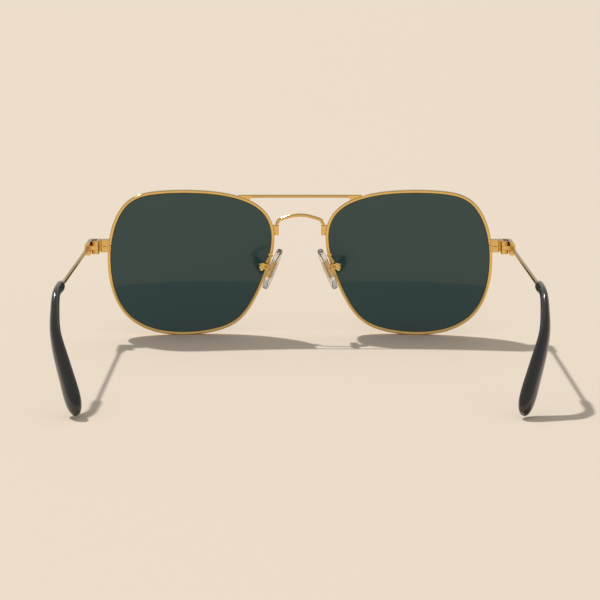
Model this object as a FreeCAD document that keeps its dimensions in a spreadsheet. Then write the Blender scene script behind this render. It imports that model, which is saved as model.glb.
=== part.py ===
"""Double-bridge aviator sunglasses, as a parametric document of separate pieces.

Frame: +X is the wearer's right, +Y the way the wearer looks, +Z up, millimetres.
The origin is under the middle of the whole pair, on the surface it stands on.
The right half is modelled, and the left half is its mirror image across the YZ plane.
"""
import FreeCAD, Part
import os
from math import sin, sqrt, tan

import Sketcher
from FreeCAD import Placement, Rotation, Vector

SIZES = {
    # whole pair
    "overall_depth": 130.6,
    "lens_spacing": 74.4,
    "face_wrap": 5,
    # lenses and rims
    "lens_width": 54.8,
    "lens_height": 48.2,
    "lens_curve_radius": 88,
    "lens_thickness": 1.6,
    "bevel_width": 0.8,
    "bevel_depth": 0.4,
    "lens_gap": 0.05,
    "groove_play": 0.02,
    "rim_wall": 1.05,
    "rim_depth": 1.9,
    "rim_rounding": 0.32,
    # rim lock: a split block whose screw closes the rim
    "lock_height": 4.1,
    "lock_length": 3.5,
    "lock_thickness": 2.7,
    "lock_overlap": 0.9,
    "lock_split": 0.2,
    "lock_level": 31.1,
    "lock_rounding": 0.3,
    "lock_screw_diameter": 1.1,
    "lock_screw_head_diameter": 1.6,
    "lock_screw_head_height": 0.5,
    "lock_screw_play": 0.02,
    # end piece and hinge
    "end_plate_thickness": 1.2,
    "end_piece_reach": 6.6,
    "end_piece_height": 4.2,
    "corner_rounding": 0.9,
    "hinge_setback": 5.0,
    "hinge_inset": 3.2,
    "barrel_diameter": 2.4,
    "barrel_height": 1.4,
    "hinge_play": 0.04,
    "hinge_leaf_thickness": 1.1,
    "hinge_screw_diameter": 1.2,
    "hinge_screw_head_diameter": 1.8,
    "hinge_screw_head_height": 0.45,
    # temples
    "butt_length": 4.0,
    "butt_thickness": 1.8,
    "butt_taper_length": 4.0,
    "wire_diameter": 1.3,
    "wire_run": 91,
    "ear_drop": 9.6,
    "ear_slope_back": 11,
    "ear_bend_radius": 15,
    "tip_inward": 8.4,
    "tip_end_margin": 1.5,
    "tip_end_level": 1.4,
    "tip_mouth_at": 76,
    "tip_mouth_width": 2.4,
    "tip_mouth_height": 3.0,
    "tip_end_width": 4.4,
    "tip_end_height": 7.0,
    "core_end_margin": 9,
    # bars between the rims
    "brow_bar_diameter": 1.05,
    "brow_bar_span": 41.4,
    "brow_bar_drop": 2.35,
    "brow_foot_length": 4.6,
    "brow_foot_depth": 1.8,
    "brow_foot_thickness": 1.3,
    "bridge_wire_diameter": 1.15,
    "bridge_foot_level": 35.7,
    "bridge_foot_length": 3.4,
    "bridge_foot_thickness": 1.6,
    "bridge_rise": 5.7,
    "bridge_shoulder_inset": 1.45,
    "bridge_shoulder_rise": 3.4,
    "bridge_shoulder_radius": 2,
    "bridge_crown_radius": 14,
    "foot_rounding": 0.3,
    # nose pads and their arms
    "pad_length": 14.6,
    "pad_width": 7.6,
    "pad_thickness": 1.9,
    "pad_rounding": 0.8,
    "pad_spacing": 18.4,
    "pad_level": 23.6,
    "pad_setback": 7.6,
    "pad_tilt": 22,
    "pad_splay": 10,
    "insert_length": 5.4,
    "insert_width": 3.6,
    "insert_thickness": 0.7,
    "boss_thickness": 1.4,
    "boss_diameter": 1.7,
    "boss_reach": 2.1,
    "pad_screw_diameter": 0.7,
    "pad_screw_head_diameter": 1.2,
    "pad_screw_head_height": 0.35,
    "box_cheek_thickness": 0.45,
    "box_play": 0.05,
    "box_back_thickness": 0.5,
    "pad_arm_diameter": 0.95,
    "pad_arm_level": 27.2,
    "pad_arm_bend": 0.9,
    "pad_arm_nub_diameter": 1.5,
    "pad_arm_nub_height": 0.9,
}

# Control points of the lens outline as shares of half its width and height.
# The first is at the temple side, and they run down, across to the nose and back over the top.
LENS_SHAPE = [
    (1.06, 0.12),
    (0.90, -0.76),
    (0.29, -1.05),
    (-0.47, -0.96),
    (-0.77, -0.63),
    (-1.15, 0.54),
    (-0.64, 0.98),
    (0.33, 1.01),
    (0.85, 0.94),
]

document = FreeCAD.newDocument("sunglasses")
sheet = document.addObject("Spreadsheet::Sheet", "size")
for row, (alias, value) in enumerate(SIZES.items(), start=1):
    sheet.set(f"A{row}", str(value))
    sheet.setAlias(f"A{row}", alias)
document.recompute()


# Levels and places worked out from the sizes, as formulas of the sheet.
LENS_BULGE = "size.lens_curve_radius * (1 - cos(size.face_wrap))"
FRONT = f"(size.overall_depth / 2 - {LENS_BULGE})"
EYE_X = "size.lens_spacing / 2"
EYE_Z = "(size.lens_height / 2 + size.rim_wall - size.bevel_depth)"
RIM_OUTSIDE = "(size.rim_wall - size.bevel_depth)"
MID_RADIUS = "(size.lens_curve_radius - size.lens_thickness / 2)"


def rim_point(across, up):
    """Formulas for the X and Y of the rim's middle at a place on the eye's own axes."""
    drop = (
        f"({MID_RADIUS} + size.lens_thickness / 2"
        f" - sqrt({MID_RADIUS} ^ 2 - ({across}) ^ 2 - ({up}) ^ 2))"
    )
    x = f"({EYE_X} + ({across}) * cos(size.face_wrap) - {drop} * sin(size.face_wrap))"
    y = f"({FRONT} - {drop} * cos(size.face_wrap) - ({across}) * sin(size.face_wrap))"
    return x, y


HALF_WIDTH = f"(size.lens_width / 2 + {RIM_OUTSIDE})"
TEMPLE_X, TEMPLE_Y = rim_point(HALF_WIDTH, f"size.lock_level - {EYE_Z}")
NOSE_X, NOSE_Y = rim_point(f"-{HALF_WIDTH}", f"size.bridge_foot_level - {EYE_Z}")
LOCK_OUTSIDE = f"({TEMPLE_X} + size.lock_thickness - size.lock_overlap)"
LOCK_FRONT = f"({TEMPLE_Y} + size.rim_depth / 2 + 0.35)"
END_BOTTOM = "(size.lock_level - size.end_piece_height / 2)"
END_OUTSIDE = f"({TEMPLE_X} + size.end_piece_reach)"
HINGE_X = f"({END_OUTSIDE} - size.hinge_inset)"
HINGE_Y = f"({TEMPLE_Y} - size.hinge_setback)"
WIRE_X = f"({END_OUTSIDE} - size.butt_thickness / 2)"
PAD_X = "size.pad_spacing / 2"
PAD_Y = f"({NOSE_Y} - size.pad_setback)"
SCREW_OUT = "(size.boss_reach - size.boss_diameter / 2)"


def bind(item, **formulas):
    """Tie the named properties of an object to formulas of the sheet."""
    for name, formula in formulas.items():
        item.setExpression(name, formula)
    return item


def place(item, x="0", y="0", z="0", yaw="0", pitch="0", roll="0"):
    """Tie an object's placement to formulas: position, then yaw, pitch and roll in degrees."""
    item.setExpression(
        "Placement",
        f"create(<<placement>>; create(<<vector>>; {x}; {y}; {z});"
        f" create(<<rotation>>; {yaw}; {pitch}; {roll}))",
    )
    return item


def box(name, x, y, z, length, width, height, **turn):
    """A box whose lowest corner is at x, y, z."""
    item = document.addObject("Part::Box", name)
    bind(item, Length=length, Width=width, Height=height)
    return place(item, x, y, z, **turn)


def cylinder(name, x, y, z, radius, height, **turn):
    """A cylinder that rises from x, y, z along its own Z."""
    item = document.addObject("Part::Cylinder", name)
    bind(item, Radius=radius, Height=height)
    return place(item, x, y, z, **turn)


def cone(name, x, y, z, first, second, height, **turn):
    """A cone from the first radius to the second along its own Z."""
    item = document.addObject("Part::Cone", name)
    bind(item, Radius1=first, Radius2=second, Height=height)
    return place(item, x, y, z, **turn)


def cut(name, base, *tools):
    """The base with each tool taken away."""
    for number, tool in enumerate(tools):
        item = document.addObject("Part::Cut", f"{name}_cut_{number}")
        item.Base = base
        item.Tool = tool
        base = item
    return base


def common(name, base, tool):
    """What two objects share."""
    item = document.addObject("Part::Common", name)
    item.Base = base
    item.Tool = tool
    return item


def fuse(name, *pieces):
    """Several overlapping objects as one solid."""
    item = document.addObject("Part::MultiFuse", name)
    item.Shapes = list(pieces)
    return item


def rounded(name, base, radius, chosen):
    """Round the edges of the base that the chosen test picks, by a size of the sheet."""
    document.recompute()
    size = sheet.get(radius)
    item = document.addObject("Part::Fillet", name)
    item.Base = base
    edges = enumerate(base.Shape.Edges, start=1)
    item.Edges = [(number, size, size) for number, edge in edges if chosen(edge)]
    return item


def along(axis):
    """A test for straight edges that run along one axis."""

    def chosen(edge):
        if edge.Curve.TypeId != "Part::GeomLine":
            return False
        return abs(edge.tangentAt(edge.FirstParameter).dot(axis)) > 0.999

    return chosen


def curved(edge):
    """A test for every edge that isn't a straight line."""
    return edge.Curve.TypeId != "Part::GeomLine"


# ---------------------------------------------------------------- lenses and rims


ARC_PAIRS = 16


def tangent_arc(start, heading, end):
    """The arc in the XZ plane that leaves the start along a heading and meets the end."""
    chord = end - start
    across = Vector(0, 1, 0).cross(chord).normalize()
    side = 1 if heading.dot(across) > 0 else -1
    rise = chord.Length / 2 * tan(heading.getAngle(chord) / 2)
    return Part.Arc(start, (start + end) * 0.5 + across * side * rise, end).toShape()


def arc_pair(start, heading, end, final_heading):
    """Two tangent arcs that join two points with a given heading at each."""
    chord = end - start
    both = heading + final_heading
    square = 2 * (1 - heading.dot(final_heading))
    linear = 2 * chord.dot(both)
    reach = (sqrt(linear**2 + 4 * square * chord.dot(chord)) - linear) / (2 * square)
    first = start + heading * reach
    last = end - final_heading * reach
    middle = (first + last) * 0.5
    onward = (last - first).normalize()
    return [tangent_arc(start, heading, middle), tangent_arc(middle, onward, end)]


def lens_outline():
    """The lens outline round the eye's centre, as tangent arcs that follow a closed spline."""
    wide = sheet.get("lens_width") / 2
    high = sheet.get("lens_height") / 2
    curve = Part.BSplineCurve()
    points = [Vector(x * wide, 0, z * high) for x, z in LENS_SHAPE]
    curve.buildFromPolesMultsKnots(points, periodic=True, degree=3)
    step = (curve.LastParameter - curve.FirstParameter) / ARC_PAIRS
    edges = []
    for number in range(ARC_PAIRS):
        here = curve.FirstParameter + number * step
        there = here + step
        heading = curve.tangent(here)[0].normalize()
        final_heading = curve.tangent(there)[0].normalize()
        edges += arc_pair(curve.value(here), heading, curve.value(there), final_heading)
    item = document.addObject("Part::Feature", "lens_outline")
    item.Shape = Part.Wire(edges)
    return item


outline = lens_outline()


def outline_block(name, grown):
    """The lens outline grown by a formula and carried through the curve of the front."""
    source = outline
    if grown != "0":
        source = document.addObject("Part::Offset2D", f"{name}_outline")
        source.Source = outline
        bind(source, Value=grown)
    item = document.addObject("Part::Extrusion", name)
    item.Base = source
    item.DirMode = "Custom"
    item.Dir = Vector(0, -1, 0)
    item.Solid = True
    bind(item, LengthFwd="size.lens_curve_radius / 5", LengthRev="size.rim_depth * 2")
    return item


def curved_shell(name, thickness):
    """A shell of the lens curve, centred on the middle of the lens."""
    balls = []
    for side, sign in (("outer", "+"), ("inner", "-")):
        ball = document.addObject("Part::Sphere", f"{name}_{side}")
        bind(ball, Radius=f"{MID_RADIUS} {sign} ({thickness}) / 2")
        balls.append(place(ball, y="-size.lens_curve_radius"))
    return cut(name, *balls)


def at_eye(item):
    """Set an object of the eye's own axes in its place in the front."""
    return place(item, EYE_X, FRONT, EYE_Z, yaw="-size.face_wrap")


bevel = common(
    "lens_bevel",
    outline_block("bevel_block", "0"),
    curved_shell("bevel_shell", "size.bevel_width"),
)
groove = common(
    "rim_groove",
    outline_block("groove_block", "size.groove_play"),
    curved_shell("groove_shell", "size.bevel_width + 2 * size.groove_play"),
)
lens_body = common(
    "lens_body",
    outline_block("lens_block", "-size.bevel_depth - size.lens_gap"),
    curved_shell("lens_shell", "size.lens_thickness"),
)
lens = at_eye(fuse("lens", lens_body, bevel))

rim_shell = curved_shell("rim_shell", "size.rim_depth")
rim_block = outline_block("rim_block", RIM_OUTSIDE)
rim_hole = outline_block("rim_hole", "-size.bevel_depth")
rim_ring = common("rim_ring", cut("rim_bar", rim_block, rim_hole), rim_shell)
rim_smooth = rounded("rim_smooth", rim_ring, "rim_rounding", curved)
rim_slit = box(
    "rim_slit",
    "size.lens_width / 3",
    "-size.lens_curve_radius / 5",
    f"size.lock_level - {EYE_Z} - size.lock_split / 2",
    "size.lens_width / 3",
    "size.lens_curve_radius / 5",
    "size.lock_split",
)
rim = at_eye(cut("rim", rim_smooth, groove, rim_slit))
rim_envelope = at_eye(common("rim_envelope", rim_block, rim_shell))
rim_outside = at_eye(outline_block("rim_outside", RIM_OUTSIDE))

# ---------------------------------------------------------------- rim lock

LOCK_X = f"({TEMPLE_X} - size.lock_overlap)"
LOCK_BACK = f"({LOCK_FRONT} - size.lock_length)"
LOCK_SCREW_X = f"({TEMPLE_X} + 0.1 + size.lock_screw_diameter / 2)"
LOCK_SCREW_Y = f"({LOCK_BACK} + size.lock_length / 2)"
LOCK_HALF = "(size.lock_height / 2 - size.lock_split / 2)"
LOCK_BOTTOM = "(size.lock_level - size.lock_height / 2)"

lock_screw_shank = cylinder(
    "lock_screw_shank",
    LOCK_SCREW_X,
    LOCK_SCREW_Y,
    LOCK_BOTTOM,
    "size.lock_screw_diameter / 2",
    "size.lock_height * 0.8",
)
lock_screw_head = cylinder(
    "lock_screw_head",
    LOCK_SCREW_X,
    LOCK_SCREW_Y,
    LOCK_BOTTOM,
    "size.lock_screw_head_diameter / 2",
    "size.lock_screw_head_height",
)
rim_lock_screw = fuse("rim_lock_screw", lock_screw_shank, lock_screw_head)
lock_bore = cylinder(
    "lock_bore",
    LOCK_SCREW_X,
    LOCK_SCREW_Y,
    LOCK_BOTTOM,
    "size.lock_screw_diameter / 2 + size.lock_screw_play",
    "size.lock_height * 0.8 + size.lock_screw_play",
)
lock_countersink = cylinder(
    "lock_countersink",
    LOCK_SCREW_X,
    LOCK_SCREW_Y,
    LOCK_BOTTOM,
    "size.lock_screw_head_diameter / 2 + size.lock_screw_play",
    "size.lock_screw_head_height",
)


def lock_half(name, bottom):
    """One half of the rim lock, coped to the rim and bored for the screw."""
    block = box(f"{name}_block", LOCK_X, LOCK_BACK, bottom, "size.lock_thickness", "size.lock_length", LOCK_HALF)
    smooth = rounded(f"{name}_smooth", block, "lock_rounding", along(Vector(0, 0, 1)))
    return cut(name, smooth, lock_bore, lock_countersink, rim_envelope)


rim_lock_lower = lock_half("rim_lock_lower", LOCK_BOTTOM)
rim_lock_upper = lock_half("rim_lock_upper", "size.lock_level + size.lock_split / 2")

# ---------------------------------------------------------------- end piece and hinge

PLATE_FRONT = LOCK_FRONT
ARM_BACK = HINGE_Y
end_plate = box(
    "end_plate",
    LOCK_OUTSIDE,
    f"{PLATE_FRONT} - size.end_plate_thickness",
    END_BOTTOM,
    f"{END_OUTSIDE} - {LOCK_OUTSIDE}",
    "size.end_plate_thickness",
    "size.end_piece_height",
)
end_arm = box(
    "end_arm",
    f"{END_OUTSIDE} - size.butt_thickness",
    ARM_BACK,
    END_BOTTOM,
    "size.butt_thickness",
    f"{PLATE_FRONT} - {ARM_BACK}",
    "size.end_piece_height",
)
end_blank = fuse("end_blank", end_plate, end_arm)


def end_corner(edge):
    """A test for the outer front corner of the end piece and its long outer edges."""
    if edge.Curve.TypeId != "Part::GeomLine":
        return False
    outer = sheet_value(END_OUTSIDE)
    return abs(edge.CenterOfMass.x - outer) < 0.01 and edge.Length > 4.1


def sheet_value(formula):
    """The present value of a formula of the sheet."""
    return float(sheet.evalExpression(formula))


end_piece = rounded("end_piece", end_blank, "corner_rounding", end_corner)

hinge_screw_shank = cylinder(
    "hinge_screw_shank",
    HINGE_X,
    HINGE_Y,
    END_BOTTOM,
    "size.hinge_screw_diameter / 2",
    "size.end_piece_height",
)
hinge_screw_head = cylinder(
    "hinge_screw_head",
    HINGE_X,
    HINGE_Y,
    f"{END_BOTTOM} + size.end_piece_height - size.hinge_screw_head_height",
    "size.hinge_screw_head_diameter / 2",
    "size.hinge_screw_head_height",
)
hinge_screw = fuse("hinge_screw", hinge_screw_shank, hinge_screw_head)

front_barrel = cylinder(
    "front_barrel", HINGE_X, HINGE_Y, END_BOTTOM, "size.barrel_diameter / 2", "size.end_piece_height"
)
front_leaf = box(
    "front_leaf",
    f"{HINGE_X} - size.barrel_diameter / 2",
    HINGE_Y,
    END_BOTTOM,
    "size.hinge_leaf_thickness",
    f"{PLATE_FRONT} - size.end_plate_thickness - {HINGE_Y}",
    "size.end_piece_height",
)
MIDDLE_BOTTOM = "(size.lock_level - size.barrel_height / 2)"
barrel_slot = cylinder(
    "barrel_slot",
    HINGE_X,
    HINGE_Y,
    f"{MIDDLE_BOTTOM} - size.hinge_play",
    "size.barrel_diameter / 2 + size.hinge_play * 2",
    "size.barrel_height + size.hinge_play * 2",
)
hinge_front = cut(
    "hinge_front",
    fuse("hinge_front_blank", front_barrel, front_leaf),
    barrel_slot,
    hinge_screw_shank,
    hinge_screw_head,
)

rear_barrel = cylinder(
    "rear_barrel", HINGE_X, HINGE_Y, MIDDLE_BOTTOM, "size.barrel_diameter / 2", "size.barrel_height"
)
rear_leaf = box(
    "rear_leaf",
    HINGE_X,
    f"{HINGE_Y} - size.barrel_diameter / 2",
    MIDDLE_BOTTOM,
    f"{END_OUTSIDE} - size.butt_thickness - {HINGE_X}",
    "size.hinge_leaf_thickness",
    "size.barrel_height",
)
screw_bore = cylinder(
    "screw_bore",
    HINGE_X,
    HINGE_Y,
    END_BOTTOM,
    "size.hinge_screw_diameter / 2 + size.hinge_play",
    "size.end_piece_height",
)
hinge_rear = cut("hinge_rear", fuse("hinge_rear_blank", rear_barrel, rear_leaf), screw_bore)

# ---------------------------------------------------------------- temple

BUTT_BACK = f"({HINGE_Y} - size.hinge_play - size.butt_length)"
butt_block = box(
    "butt_block",
    f"{END_OUTSIDE} - size.butt_thickness",
    BUTT_BACK,
    END_BOTTOM,
    "size.butt_thickness",
    "size.butt_length",
    "size.end_piece_height",
)


def butt_corner(edge):
    """A test for the butt's long outer edges, which run along the temple."""
    return along(Vector(0, 1, 0))(edge) and edge.CenterOfMass.x > sheet_value(WIRE_X)


butt_smooth = rounded("butt_smooth", butt_block, "corner_rounding", butt_corner)
butt_taper = cone(
    "butt_taper",
    WIRE_X,
    f"{BUTT_BACK} - size.butt_taper_length",
    "size.lock_level",
    "size.wire_diameter / 2 + 0.1",
    "size.butt_thickness / 2",
    "size.butt_taper_length + 0.5",
    roll="-90",
)


def tangent_path(name, points, radii):
    """An open wire of straight runs joined by tangent arcs."""
    edges = []
    start = points[0]
    for before, corner, after, radius in zip(points, points[1:], points[2:], radii):
        back = (before - corner).normalize()
        ahead = (after - corner).normalize()
        half = back.getAngle(ahead) / 2
        reach = radius / tan(half)
        first = corner + back * reach
        last = corner + ahead * reach
        centre = corner + (back + ahead).normalize() * (radius / sin(half))
        middle = centre + (corner - centre).normalize() * radius
        edges.append(Part.LineSegment(start, first).toShape())
        edges.append(Part.Arc(first, middle, last).toShape())
        start = last
    edges.append(Part.LineSegment(start, points[-1]).toShape())
    item = document.addObject("Part::Feature", name)
    item.Shape = Part.Wire(edges)
    return item


def round_bar(name, path, diameter):
    """A round bar swept along a path, its section at the path's start."""
    start = path.Shape.Edges[0]
    point = start.valueAt(start.FirstParameter)
    heading = start.tangentAt(start.FirstParameter)
    section = document.addObject("Part::Circle", f"{name}_section")
    bind(section, Radius=f"{diameter} / 2")
    section.Placement = Placement(point, Rotation(Vector(0, 0, 1), heading))
    item = document.addObject("Part::Sweep", name)
    item.Sections = [section]
    item.Spine = (path, [f"Edge{number}" for number in range(1, len(path.Shape.Edges) + 1)])
    item.Solid = True
    item.Frenet = False
    return item


def temple_points():
    """The temple's centre line: along the head, over the ear and down behind it."""
    x = sheet_value(WIRE_X)
    hinge = sheet_value(HINGE_Y)
    level = sheet.get("lock_level")
    depth = sheet.get("overall_depth")
    ear = hinge - sheet.get("wire_run")
    slope = ear - sheet.get("ear_slope_back")
    fall = level - sheet.get("ear_drop")
    end = Vector(
        x - sheet.get("tip_inward"),
        -depth / 2 + sheet.get("tip_end_margin"),
        sheet.get("tip_end_level"),
    )
    return [
        Vector(x, sheet_value(BUTT_BACK), level),
        Vector(x, ear, level),
        Vector(x - sheet.get("tip_inward") / 10, slope, fall),
        end,
    ]


temple_line = temple_points()
core_line = list(temple_line)
core_line[-1] = core_line[-1] + (core_line[-2] - core_line[-1]).normalize() * sheet.get("core_end_margin")
bend = sheet.get("ear_bend_radius")
core_path = tangent_path("core_path", core_line, [bend, bend * 2])
temple_wire = round_bar("temple_wire", core_path, "size.wire_diameter")
temple_butt = cut("temple_butt", fuse("butt_blank", butt_smooth, butt_taper), temple_wire)

tip_path = tangent_path("tip_path", temple_line, [bend, bend * 2])


def tip_sections():
    """Ellipses square to the temple's line, from the tip's mouth to its rounded end."""
    wire = tip_path.Shape
    total = wire.Length
    mouth = sheet.get("tip_mouth_at") - sheet.get("butt_length")
    shares = [0, 0.02, 0.15, 0.28, 0.4, 0.52, 0.65, 0.8, 0.9, 0.97, 1]
    swell = [0.85, 1, 1, 1, 1, 1, 1, 1, 0.97, 0.75, 0.35]
    sections = []
    for number, (share, full) in enumerate(zip(shares, swell)):
        distance = mouth + share * (total - mouth)
        point, heading = point_along(wire, distance)
        growth = max(0, (share - 0.3) / 0.6)
        growth = min(growth, 1)
        width = sheet.get("tip_mouth_width")
        width += growth * (sheet.get("tip_end_width") - width)
        height = sheet.get("tip_mouth_height")
        height += min(1, share / 0.9) * (sheet.get("tip_end_height") - height)
        sideways = heading.cross(Vector(0, 0, 1)).normalize()
        upright = sideways.cross(heading)
        section = document.addObject("Part::Ellipse", f"tip_section_{number}")
        section.MajorRadius = height * full / 2
        section.MinorRadius = width * full / 2
        turn = Rotation(upright, heading.cross(upright), heading, "ZXY")
        section.Placement = Placement(point, turn)
        sections.append(section)
    return sections


def point_along(wire, distance):
    """The point and heading at a distance along a wire."""
    for edge in wire.Edges:
        if distance < edge.Length:
            parameter = edge.getParameterByLength(distance)
            return edge.valueAt(parameter), edge.tangentAt(parameter)
        distance -= edge.Length
    edge = wire.Edges[-1]
    return edge.valueAt(edge.LastParameter), edge.tangentAt(edge.LastParameter)


tip_blank = document.addObject("Part::Loft", "tip_blank")
tip_blank.Sections = tip_sections()
tip_blank.Solid = True
temple_tip = cut("temple_tip", tip_blank, temple_wire)

# ---------------------------------------------------------------- bars between the rims

BROW_Z = f"({EYE_Z} + size.lens_height / 2 + {RIM_OUTSIDE} - size.brow_bar_drop)"
BROW_END = "size.brow_bar_span / 2"
BROW_X, BROW_Y = rim_point(f"{BROW_END} - {EYE_X}", f"{BROW_Z} - {EYE_Z}")
BROW_Y = f"({BROW_Y})"
brow_rod = cylinder(
    "brow_rod",
    f"-{BROW_END}",
    BROW_Y,
    BROW_Z,
    "size.brow_bar_diameter / 2",
    "size.brow_bar_span",
    pitch="90",
)


def prism(name, corners, thickness):
    """A body padded both ways from a polygon of formulas in the XZ plane."""
    body = document.addObject("PartDesign::Body", name)
    plane = next(item for item in body.Origin.OriginFeatures if item.Role == "XZ_Plane")
    sketch = body.newObject("Sketcher::SketchObject", f"{name}_sketch")
    sketch.AttachmentSupport = (plane, [""])
    sketch.MapMode = "FlatFace"
    points = [Vector(sheet_value(x), sheet_value(z), 0) for x, z in corners]
    for number, point in enumerate(points):
        sketch.addGeometry(Part.LineSegment(point, points[(number + 1) % len(points)]))
    for number in range(len(points)):
        following = (number + 1) % len(points)
        sketch.addConstraint(Sketcher.Constraint("Coincident", number, 2, following, 1))
    for number, (point, (x, z)) in enumerate(zip(points, corners)):
        for kind, value, formula in (("DistanceX", point.x, x), ("DistanceY", point.y, z)):
            row = sketch.addConstraint(Sketcher.Constraint(kind, number, 1, value))
            sketch.setExpression(f"Constraints[{row}]", formula)
    pad = body.newObject("PartDesign::Pad", f"{name}_pad")
    pad.Profile = sketch
    pad.SideType = "Symmetric"
    pad.setExpression("Length", thickness)
    body.Tip = pad
    return body


brow_foot = prism(
    "brow_foot",
    [
        (f"{BROW_END} - size.brow_foot_length", f"{BROW_Z} + size.brow_bar_diameter / 4"),
        (f"{BROW_END} - size.brow_foot_length", f"{BROW_Z} - size.brow_bar_diameter / 4"),
        (f"{BROW_END} - size.brow_foot_length * 0.7", f"{BROW_Z} - size.brow_foot_depth"),
        (BROW_END, f"{BROW_Z} - size.brow_foot_depth"),
        (BROW_END, f"{BROW_Z} + size.brow_bar_diameter / 4"),
    ],
    "size.brow_foot_thickness",
)
place(brow_foot, y=BROW_Y)


def mirrored(item, name):
    """The mirror image of an object across the YZ plane."""
    image = document.addObject("Part::Mirroring", name)
    image.Source = item
    image.Base = Vector(0, 0, 0)
    image.Normal = Vector(1, 0, 0)
    return image


left_rim_outside = mirrored(rim_outside, "left_rim_outside")
left_brow_foot = mirrored(brow_foot, "left_brow_foot")
brow_blank = fuse("brow_blank", brow_rod, brow_foot, left_brow_foot)
brow_bar = cut("brow_bar", brow_blank, rim_outside, left_rim_outside)

BRIDGE_LEG = f"({NOSE_X} - size.bridge_foot_thickness / 2 + size.bridge_wire_diameter / 5)"


def bridge_points():
    """The bridge's centre line, from the left rim over the nose to the right rim."""
    leg = sheet_value(BRIDGE_LEG)
    y = sheet_value(NOSE_Y)
    level = sheet.get("bridge_foot_level")
    shoulder = Vector(
        leg - sheet.get("bridge_shoulder_inset") / 2,
        y,
        level + sheet.get("bridge_shoulder_rise"),
    )
    foot = Vector(leg, y, level)
    crown = Vector(0, y, level + sheet.get("bridge_rise"))
    other_shoulder = Vector(-shoulder.x, y, shoulder.z)
    other_foot = Vector(-foot.x, y, foot.z)
    return [other_foot, other_shoulder, crown, shoulder, foot]


shoulder_radius = sheet.get("bridge_shoulder_radius")
crown_radius = sheet.get("bridge_crown_radius")
bridge_path = tangent_path(
    "bridge_path", bridge_points(), [shoulder_radius, crown_radius, shoulder_radius]
)
bridge_wire = round_bar("bridge_wire", bridge_path, "size.bridge_wire_diameter")
bridge_foot_block = box(
    "bridge_foot_block",
    f"{NOSE_X} - size.bridge_foot_thickness",
    f"{NOSE_Y} - size.bridge_foot_thickness / 2",
    "size.bridge_foot_level - size.bridge_foot_length / 2",
    "size.bridge_foot_thickness * 1.4",
    "size.bridge_foot_thickness",
    "size.bridge_foot_length",
)
bridge_foot = rounded("bridge_foot", bridge_foot_block, "foot_rounding", lambda edge: True)
left_bridge_foot = mirrored(bridge_foot, "left_bridge_foot")
nose_bridge = cut(
    "nose_bridge",
    fuse("bridge_blank", bridge_wire, bridge_foot, left_bridge_foot),
    rim_outside,
    left_rim_outside,
)

# ---------------------------------------------------------------- nose pads

SCREW_OUT = "(size.pad_thickness / 2 + size.boss_reach - size.boss_diameter / 2)"
PAD_PLACE = {
    "x": PAD_X,
    "y": PAD_Y,
    "z": "size.pad_level",
    "yaw": "size.pad_splay",
    "pitch": "-size.pad_tilt",
}
CHEEK_INSIDE = "(size.boss_thickness / 2 + size.box_play)"
BOX_WIDTH = "(size.boss_thickness + 2 * size.box_play + 2 * size.box_cheek_thickness)"
BOX_BACK = f"({SCREW_OUT} + size.boss_diameter / 2 + size.box_play * 2)"
BOX_HEIGHT = "(size.boss_diameter + size.box_play * 2)"

pad_ellipse = document.addObject("Part::Ellipse", "pad_ellipse")
bind(pad_ellipse, MajorRadius="size.pad_length / 2", MinorRadius="size.pad_width / 2")
place(pad_ellipse, pitch="-90")
pad_block = document.addObject("Part::Extrusion", "pad_block")
pad_block.Base = pad_ellipse
pad_block.DirMode = "Custom"
pad_block.Dir = Vector(1, 0, 0)
pad_block.Solid = True
bind(pad_block, LengthFwd="size.pad_thickness / 2", LengthRev="size.pad_thickness / 2")
pad_smooth = rounded("pad_smooth", pad_block, "pad_rounding", curved)

insert_plate = box(
    "insert_plate",
    "-size.insert_thickness / 2",
    "-size.insert_width / 2",
    "-size.insert_length / 2",
    "size.insert_thickness",
    "size.insert_width",
    "size.insert_length",
)
insert_web = box(
    "insert_web",
    "0",
    "-size.boss_thickness / 2",
    "-size.boss_diameter / 3",
    SCREW_OUT,
    "size.boss_thickness",
    "size.boss_diameter * 2 / 3",
)
insert_boss = cylinder(
    "insert_boss",
    SCREW_OUT,
    "size.boss_thickness / 2",
    "0",
    "size.boss_diameter / 2",
    "size.boss_thickness",
    roll="90",
)
boss_bore = cylinder(
    "boss_bore",
    SCREW_OUT,
    "size.boss_thickness",
    "0",
    "size.pad_screw_diameter / 2 + size.box_play / 2",
    "size.boss_thickness * 2",
    roll="90",
)
insert_blank = fuse("insert_blank", insert_plate, insert_web, insert_boss)
pad_insert = place(cut("pad_insert", insert_blank, boss_bore), **PAD_PLACE)
nose_pad = place(cut("nose_pad", pad_smooth, insert_blank), **PAD_PLACE)

box_block = box(
    "box_block",
    f"{SCREW_OUT} - size.boss_diameter * 0.45",
    f"-{BOX_WIDTH} / 2",
    f"-{BOX_HEIGHT} / 2",
    f"{BOX_BACK} + size.box_back_thickness - {SCREW_OUT} + size.boss_diameter * 0.45",
    BOX_WIDTH,
    BOX_HEIGHT,
)
box_slot = box(
    "box_slot",
    "0",
    f"-{CHEEK_INSIDE}",
    f"-{BOX_HEIGHT}",
    BOX_BACK,
    f"{CHEEK_INSIDE} * 2",
    f"{BOX_HEIGHT} * 2",
)
pad_screw_shank = cylinder(
    "pad_screw_shank",
    SCREW_OUT,
    f"{BOX_WIDTH} / 2",
    "0",
    "size.pad_screw_diameter / 2",
    f"{BOX_WIDTH}",
    roll="90",
)
pad_screw_head = cylinder(
    "pad_screw_head",
    SCREW_OUT,
    f"-{BOX_WIDTH} / 2",
    "0",
    "size.pad_screw_head_diameter / 2",
    "size.pad_screw_head_height",
    roll="90",
)
pad_screw_blank = fuse("pad_screw_blank", pad_screw_shank, pad_screw_head)
pad_screw = place(pad_screw_blank, **PAD_PLACE)
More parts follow.
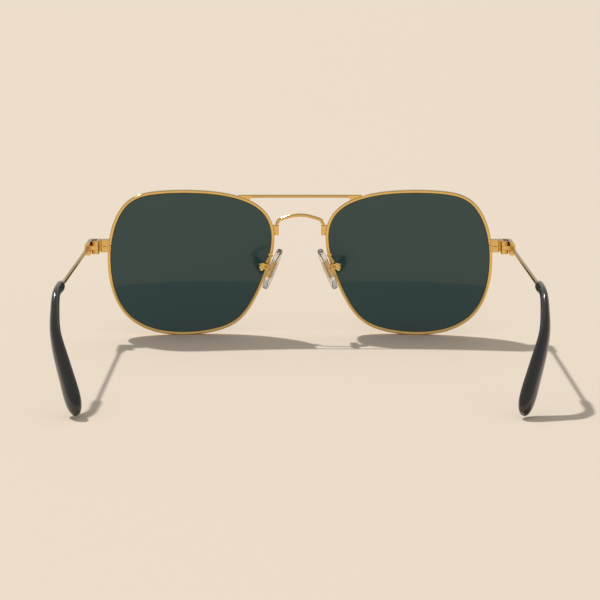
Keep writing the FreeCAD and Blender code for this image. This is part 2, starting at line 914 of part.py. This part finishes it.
pad_box_blank = cut("pad_box_blank", box_block, box_slot, pad_screw_shank)
pad_box = place(pad_box_blank, **PAD_PLACE)

ARM_X, ARM_Y = rim_point("size.bevel_depth - size.lens_width / 2", f"size.pad_arm_level - {EYE_Z}")


def arm_points():
    """The pad arm's centre line: out of the box, round its curl and up to the rim."""
    middle = Vector(sheet_value(PAD_X), sheet_value(PAD_Y), sheet.get("pad_level"))
    turn = Rotation(sheet.get("pad_splay"), -sheet.get("pad_tilt"), 0)
    seat = middle + turn.multVec(Vector(sheet_value(BOX_BACK), 0, 0))
    outward = turn.multVec(Vector(1, 0, 0))
    nub_end = sheet_value(f"{ARM_Y} - size.rim_depth / 2 - size.pad_arm_nub_height / 2")
    rim_end = Vector(sheet_value(ARM_X), nub_end, sheet.get("pad_arm_level"))
    ahead = rim_end.y - seat.y
    curl = seat + outward * (sheet.get("box_back_thickness") + sheet.get("pad_arm_diameter") * 1.3)
    return [
        seat + outward * 0.2,
        curl,
        Vector(curl.x - 0.6, seat.y + ahead * 0.5, curl.z - 3),
        rim_end,
    ]


arm_bend = sheet.get("pad_arm_bend")
arm_path = tangent_path("arm_path", arm_points(), [arm_bend, arm_bend])
arm_wire = round_bar("arm_wire", arm_path, "size.pad_arm_diameter")
arm_nub = cylinder(
    "arm_nub",
    ARM_X,
    ARM_Y,
    "size.pad_arm_level",
    "size.pad_arm_nub_diameter / 2",
    "size.rim_depth / 2 + size.pad_arm_nub_height",
    roll="90",
)
arm_seat = cut("arm_seat", arm_nub, rim_envelope)
arm_start = cut("arm_start", arm_wire, pad_box)
pad_arm = fuse("pad_arm", arm_start, arm_seat)

# ---------------------------------------------------------------- the pieces and their files

HALF = {
    "rim": rim,
    "lens": lens,
    "rim_lock_upper": rim_lock_upper,
    "rim_lock_lower": rim_lock_lower,
    "rim_lock_screw": rim_lock_screw,
    "end_piece": end_piece,
    "hinge_front": hinge_front,
    "hinge_rear": hinge_rear,
    "hinge_screw": hinge_screw,
    "temple_butt": temple_butt,
    "temple_wire": temple_wire,
    "temple_tip": temple_tip,
    "pad_arm": pad_arm,
    "pad_box": pad_box,
    "pad_screw": pad_screw,
    "pad_insert": pad_insert,
    "nose_pad": nose_pad,
}
pieces = [brow_bar, nose_bridge]
brow_bar.Label = "brow_bar"
nose_bridge.Label = "nose_bridge"
for name, right in HALF.items():
    left = mirrored(right, f"{name}_mirror")
    right.Label = f"{name}_right"
    left.Label = f"{name}_left"
    pieces += [right, left]

document.recompute()
failed = [item.Name for item in document.Objects if {"Invalid", "Error"} & set(item.State)]
if failed:
    raise RuntimeError(f"objects that failed: {failed}")
for piece in pieces:
    if piece.Shape.isNull() or not piece.Shape.isValid():
        raise RuntimeError(f"no valid shape in {piece.Label}")
    if len(piece.Shape.Solids) != 1:
        raise RuntimeError(f"{piece.Label} has {len(piece.Shape.Solids)} solids")

os.makedirs("parts", exist_ok=True)
for piece in pieces:
    piece.Shape.Solids[0].exportStep(f"parts/{piece.Label}.step")
    box_of = piece.Shape.BoundBox
    print(f"{piece.Label}: {piece.Shape.Volume:.1f} mm3, {box_of}")
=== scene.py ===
"""Looks of the double-bridge aviator sunglasses: finishes, small details, light and camera."""

import logging
import math
from dataclasses import dataclass, field
from enum import Enum

import bmesh
import bpy
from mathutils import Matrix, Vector


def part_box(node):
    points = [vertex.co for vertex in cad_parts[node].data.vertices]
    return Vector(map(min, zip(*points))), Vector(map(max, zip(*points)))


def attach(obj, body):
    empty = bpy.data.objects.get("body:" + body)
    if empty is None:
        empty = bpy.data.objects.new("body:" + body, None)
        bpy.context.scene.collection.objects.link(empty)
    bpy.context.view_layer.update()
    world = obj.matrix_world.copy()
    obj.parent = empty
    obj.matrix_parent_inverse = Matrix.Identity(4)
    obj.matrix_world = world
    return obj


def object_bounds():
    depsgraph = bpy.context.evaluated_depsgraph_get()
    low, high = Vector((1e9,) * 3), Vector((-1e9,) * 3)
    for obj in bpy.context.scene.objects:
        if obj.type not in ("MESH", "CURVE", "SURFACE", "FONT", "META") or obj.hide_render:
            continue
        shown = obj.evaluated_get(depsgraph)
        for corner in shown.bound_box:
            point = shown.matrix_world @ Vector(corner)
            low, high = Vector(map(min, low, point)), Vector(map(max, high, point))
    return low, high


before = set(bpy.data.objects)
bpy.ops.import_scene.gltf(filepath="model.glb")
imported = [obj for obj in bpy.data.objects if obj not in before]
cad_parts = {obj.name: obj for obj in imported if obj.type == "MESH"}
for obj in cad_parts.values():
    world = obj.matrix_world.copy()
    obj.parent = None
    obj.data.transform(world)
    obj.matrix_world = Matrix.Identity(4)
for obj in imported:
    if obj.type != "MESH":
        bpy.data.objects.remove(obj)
BOUNDS_AT_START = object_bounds()

log = logging.getLogger("sunglasses")

Colour = tuple[float, float, float, float]

WEAR_SOCKETS = (("Low", 0.1), ("High", 0.2), ("Grain", 800.0), ("Bump", 0.05))
WEAR_DETAIL = 4.0
WEAR_DEPTH = 0.00005


class Side(Enum):
    """The wearer's right or left half of the pair, with its sign along X."""

    RIGHT = 1
    LEFT = -1

    @property
    def suffix(self) -> str:
        """The ending of the side's node names.

        Returns:
            The word right or left.
        """
        return self.name.lower()


@dataclass(frozen=True)
class Finish:
    """A surface finish whose plain values go straight onto the shader's sockets."""

    name: str
    colour: Colour
    metallic: float = 0.0
    ior: float = 1.5
    transmission: float = 0.0
    coat: float = 0.0
    wear_low: float = 0.0
    wear_high: float = 0.0
    bump: float = 0.0
    grain: float = 900.0


GOLD = Finish(
    "polished_gold",
    (0.86, 0.58, 0.20, 1.0),
    metallic=1.0,
    wear_low=0.10,
    wear_high=0.22,
    bump=0.06,
)
SCREW_GOLD = Finish(
    "screw_gold",
    (0.58, 0.35, 0.11, 1.0),
    metallic=1.0,
    wear_low=0.2,
    wear_high=0.36,
    bump=0.1,
)
LENS_GLASS = Finish(
    "grey_green_glass",
    (0.027, 0.078, 0.080, 1.0),
    wear_low=0.03,
    wear_high=0.06,
    ior=1.52,
    grain=60.0,
)
BLACK_TIP = Finish(
    "black_acetate",
    (0.012, 0.012, 0.013, 1.0),
    wear_low=0.12,
    wear_high=0.22,
    coat=0.5,
    bump=0.03,
    grain=500.0,
)
CLEAR_PAD = Finish(
    "clear_pad",
    (0.97, 0.94, 0.90, 1.0),
    transmission=1.0,
    wear_low=0.12,
    wear_high=0.24,
    ior=1.42,
    bump=0.04,
    grain=400.0,
)


def wear_group() -> bpy.types.NodeTree:
    """Build the shader node group for fine handling wear, used by every finish.

    Returns:
        A group that gives a roughness value and a bumped normal.
    """
    group = bpy.data.node_groups.new("handling_wear", "ShaderNodeTree")
    face = group.interface
    for name, value in WEAR_SOCKETS:
        socket = face.new_socket(name=name, in_out="INPUT", socket_type="NodeSocketFloat")
        socket.default_value = value
    face.new_socket(name="Roughness", in_out="OUTPUT", socket_type="NodeSocketFloat")
    face.new_socket(name="Normal", in_out="OUTPUT", socket_type="NodeSocketVector")
    nodes, links = group.nodes, group.links
    inside = nodes.new("NodeGroupInput")
    outside = nodes.new("NodeGroupOutput")
    place = nodes.new("ShaderNodeTexCoord")
    noise = nodes.new("ShaderNodeTexNoise")
    noise.inputs["Detail"].default_value = WEAR_DETAIL
    spread = nodes.new("ShaderNodeMapRange")
    bump = nodes.new("ShaderNodeBump")
    bump.inputs["Distance"].default_value = WEAR_DEPTH
    links.new(place.outputs["Object"], noise.inputs["Vector"])
    links.new(inside.outputs["Grain"], noise.inputs["Scale"])
    links.new(noise.outputs["Fac"], spread.inputs["Value"])
    links.new(inside.outputs["Low"], spread.inputs["To Min"])
    links.new(inside.outputs["High"], spread.inputs["To Max"])
    links.new(inside.outputs["Bump"], bump.inputs["Strength"])
    links.new(noise.outputs["Fac"], bump.inputs["Height"])
    links.new(spread.outputs["Result"], outside.inputs["Roughness"])
    links.new(bump.outputs["Normal"], outside.inputs["Normal"])
    return group


class Finishes:
    """Makes each finish's material once and hands it out."""

    def __init__(self) -> None:
        """Build the shared wear group."""
        self.wear = wear_group()
        self.made: dict[str, bpy.types.Material] = {}

    def material(self, finish: Finish) -> bpy.types.Material:
        """Give the material of a finish.

        Args:
            finish: The finish to make or look up.

        Returns:
            The material.
        """
        if finish.name in self.made:
            return self.made[finish.name]
        material = bpy.data.materials.new(finish.name)
        material.use_nodes = True
        nodes, links = material.node_tree.nodes, material.node_tree.links
        shader = nodes["Principled BSDF"]
        shader.inputs["Base Color"].default_value = finish.colour
        shader.inputs["Metallic"].default_value = finish.metallic
        shader.inputs["IOR"].default_value = finish.ior
        shader.inputs["Transmission Weight"].default_value = finish.transmission
        shader.inputs["Coat Weight"].default_value = finish.coat
        wear = nodes.new("ShaderNodeGroup")
        wear.node_tree = self.wear
        wear.inputs["Low"].default_value = finish.wear_low
        wear.inputs["High"].default_value = finish.wear_high
        wear.inputs["Grain"].default_value = finish.grain
        wear.inputs["Bump"].default_value = finish.bump
        links.new(wear.outputs["Roughness"], shader.inputs["Roughness"])
        links.new(wear.outputs["Normal"], shader.inputs["Normal"])
        self.made[finish.name] = material
        return material


class NodeDresser:
    """Gives carried-over nodes their finish."""

    def __init__(self, finishes: Finishes) -> None:
        """Keep the finishes.

        Args:
            finishes: The maker of materials.
        """
        self.finishes = finishes

    def dress(self, node: str, finish: Finish) -> None:
        """Put a finish on one node.

        Args:
            node: The node's name.
            finish: Its finish.
        """
        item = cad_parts[node]
        material = self.finishes.material(finish)
        if not item.material_slots:
            item.data.materials.append(material)
        for slot in item.material_slots:
            slot.material = material


@dataclass
class ScrewSlotShadeSize:
    """The measures of the painted slot shade on a screw's head, in metres."""

    width: float = 0.00022
    length_share: float = 0.78
    depth: float = 0.00004
    lift: float = 0.00001


class ScrewSlot:
    """A thin black box across the head of a hinge screw: painted shade standing in for the shadow
    inside the screw's slot.
    """

    def __init__(self, side: Side, size: ScrewSlotShadeSize) -> None:
        """Keep the side and the size.

        Args:
            side: The half of the pair that the screw is on.
            size: The slot's measures.
        """
        self.side = side
        self.size = size

    def build(self, material: bpy.types.Material) -> bpy.types.Object:
        """Make the painted slot shade and let it ride on the front.

        Args:
            material: The black finish used as painted shade in the slot.

        Returns:
            The painted slot shade.
        """
        low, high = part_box(f"hinge_screw_{self.side.suffix}")
        centre = [(near + far) / 2 for near, far in zip(low, high)]
        length = (high[0] - low[0]) * self.size.length_share
        level = high[2] - self.size.depth / 2 - self.size.lift
        # A thin black box just under the top of the screw head: painted shade for the slot, not a
        # cut.
        mesh = bpy.data.meshes.new(f"screw_slot_{self.side.suffix}")
        shape = bmesh.new()
        bmesh.ops.create_cube(shape, size=1.0)
        for corner in shape.verts:
            corner.co.x = centre[0] + corner.co.x * length
            corner.co.y = centre[1] + corner.co.y * self.size.width
            corner.co.z = level + corner.co.z * self.size.depth
        shape.to_mesh(mesh)
        shape.free()
        mesh.materials.append(material)
        item = bpy.data.objects.new(mesh.name, mesh)
        bpy.context.scene.collection.objects.link(item)
        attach(item, "root")
        return item


@dataclass
class Front:
    """The front: rims, lenses, bars, rim locks, end pieces and front hinge leaves."""

    metal: tuple[str, ...] = ("rim", "rim_lock_upper", "rim_lock_lower", "end_piece", "hinge_front")
    screws: tuple[str, ...] = ("rim_lock_screw", "hinge_screw")
    bars: tuple[str, ...] = ("brow_bar", "nose_bridge")

    def build(self, dresser: NodeDresser) -> None:
        """Dress the front's nodes.

        Args:
            dresser: Puts finishes on nodes.
        """
        for bar in self.bars:
            dresser.dress(bar, GOLD)
        for side in Side:
            for name in self.metal:
                dresser.dress(f"{name}_{side.suffix}", GOLD)
            for name in self.screws:
                dresser.dress(f"{name}_{side.suffix}", SCREW_GOLD)
            dresser.dress(f"lens_{side.suffix}", LENS_GLASS)


@dataclass
class PadSet:
    """One side's nose pad with its arm, box, screw and insert."""

    side: Side
    metal: tuple[str, ...] = ("pad_arm", "pad_box", "pad_insert")

    def build(self, dresser: NodeDresser) -> None:
        """Dress the pad set's nodes.

        Args:
            dresser: Puts finishes on nodes.
        """
        for name in self.metal:
            dresser.dress(f"{name}_{self.side.suffix}", GOLD)
        dresser.dress(f"pad_screw_{self.side.suffix}", SCREW_GOLD)
        dresser.dress(f"nose_pad_{self.side.suffix}", CLEAR_PAD)


@dataclass
class Temple:
    """One side's temple: rear hinge leaf, butt, wire and tip."""

    side: Side
    metal: tuple[str, ...] = ("hinge_rear", "temple_butt", "temple_wire")

    def build(self, dresser: NodeDresser) -> None:
        """Dress the temple's nodes.

        Args:
            dresser: Puts finishes on nodes.
        """
        for name in self.metal:
            dresser.dress(f"{name}_{self.side.suffix}", GOLD)
        dresser.dress(f"temple_tip_{self.side.suffix}", BLACK_TIP)


@dataclass
class StudioSize:
    """Measures of the studio in metres and degrees, and the strength of its lights."""

    floor_half: float = 6.0
    floor_colour: Colour = (0.80, 0.70, 0.58, 1.0)
    floor_roughness: float = 0.9
    sky_colour: Colour = (0.90, 0.88, 0.85, 1.0)
    sky_strength: float = 0.5
    key_way: Vector = field(default_factory=lambda: Vector((-0.38, 0.54, 1.0)))
    key_distance: float = 1.6
    key_softness: float = 2.2
    key_strength: float = 2.25
    key_colour: tuple[float, float, float] = (1.0, 0.98, 0.95)
    lens_length: float = 118.7
    camera_back: float = 0.66
    camera_height: float = 0.1271
    camera_pitch: float = 9.9
    contact_setback: float = 0.005


class Studio:
    """Floor, light, backdrop and camera."""

    def __init__(self, size: StudioSize) -> None:
        """Keep the measures.

        Args:
            size: The studio's measures.
        """
        self.size = size

    def floor(self) -> None:
        """Lay a plain pale floor."""
        bpy.ops.mesh.primitive_plane_add(size=self.size.floor_half * 2)
        plane = bpy.context.object
        plane.name = "floor"
        material = bpy.data.materials.new("floor_paper")
        material.use_nodes = True
        shader = material.node_tree.nodes["Principled BSDF"]
        shader.inputs["Base Color"].default_value = self.size.floor_colour
        shader.inputs["Roughness"].default_value = self.size.floor_roughness
        plane.data.materials.append(material)

    def light(self) -> None:
        """Set one soft sun as the key light, and the backdrop."""
        lamp = bpy.data.lights.new("key", "SUN")
        lamp.angle = math.radians(self.size.key_softness)
        lamp.energy = self.size.key_strength
        lamp.color = self.size.key_colour
        item = bpy.data.objects.new("key", lamp)
        way = self.size.key_way.normalized()
        item.location = way * self.size.key_distance
        item.rotation_euler = (-way).to_track_quat("-Z", "Y").to_euler()
        bpy.context.scene.collection.objects.link(item)
        world = bpy.data.worlds.new("backdrop")
        bpy.context.scene.world = world
        world.use_nodes = True
        sky = world.node_tree.nodes["Background"]
        sky.inputs["Color"].default_value = self.size.sky_colour
        sky.inputs["Strength"].default_value = self.size.sky_strength

    def camera(self) -> None:
        """Stand the camera behind the wearer's side of the pair."""
        low, high = BOUNDS_AT_START
        lens = bpy.data.cameras.new("camera")
        lens.lens = self.size.lens_length
        item = bpy.data.objects.new("camera", lens)
        middle = (low[0] + high[0]) / 2
        ahead = high[1] - self.size.contact_setback - self.size.camera_back
        item.location = (middle, ahead, self.size.camera_height)
        item.rotation_euler = (math.radians(90 - self.size.camera_pitch), 0, 0)
        bpy.context.scene.collection.objects.link(item)
        bpy.context.scene.camera = item

    def build(self) -> None:
        """Build the whole studio."""
        self.floor()
        self.light()
        self.camera()
        bpy.context.scene.view_settings.view_transform = "Standard"


class Sunglasses:
    """The whole pair."""

    def __init__(self) -> None:
        """Set up the sub-assemblies."""
        self.finishes = Finishes()
        self.dresser = NodeDresser(self.finishes)
        self.parts: list[Front | PadSet | Temple] = [Front()]
        for side in Side:
            self.parts += [PadSet(side), Temple(side)]

    def build(self) -> None:
        """Build every sub-assembly and the painted shade of the screw slots."""
        for part in self.parts:
            part.build(self.dresser)
        # The black acetate finish is reused here as painted shade for the screw slots.
        slot_shade_black = self.finishes.material(BLACK_TIP)
        for side in Side:
            ScrewSlot(side, ScrewSlotShadeSize()).build(slot_shade_black)
        log.info("sunglasses built from %d nodes", len(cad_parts))


def main() -> None:
    """Build the pair and its studio."""
    logging.basicConfig(level=logging.INFO)
    Sunglasses().build()
    Studio(StudioSize()).build()


if __name__ == "__main__":
    main()
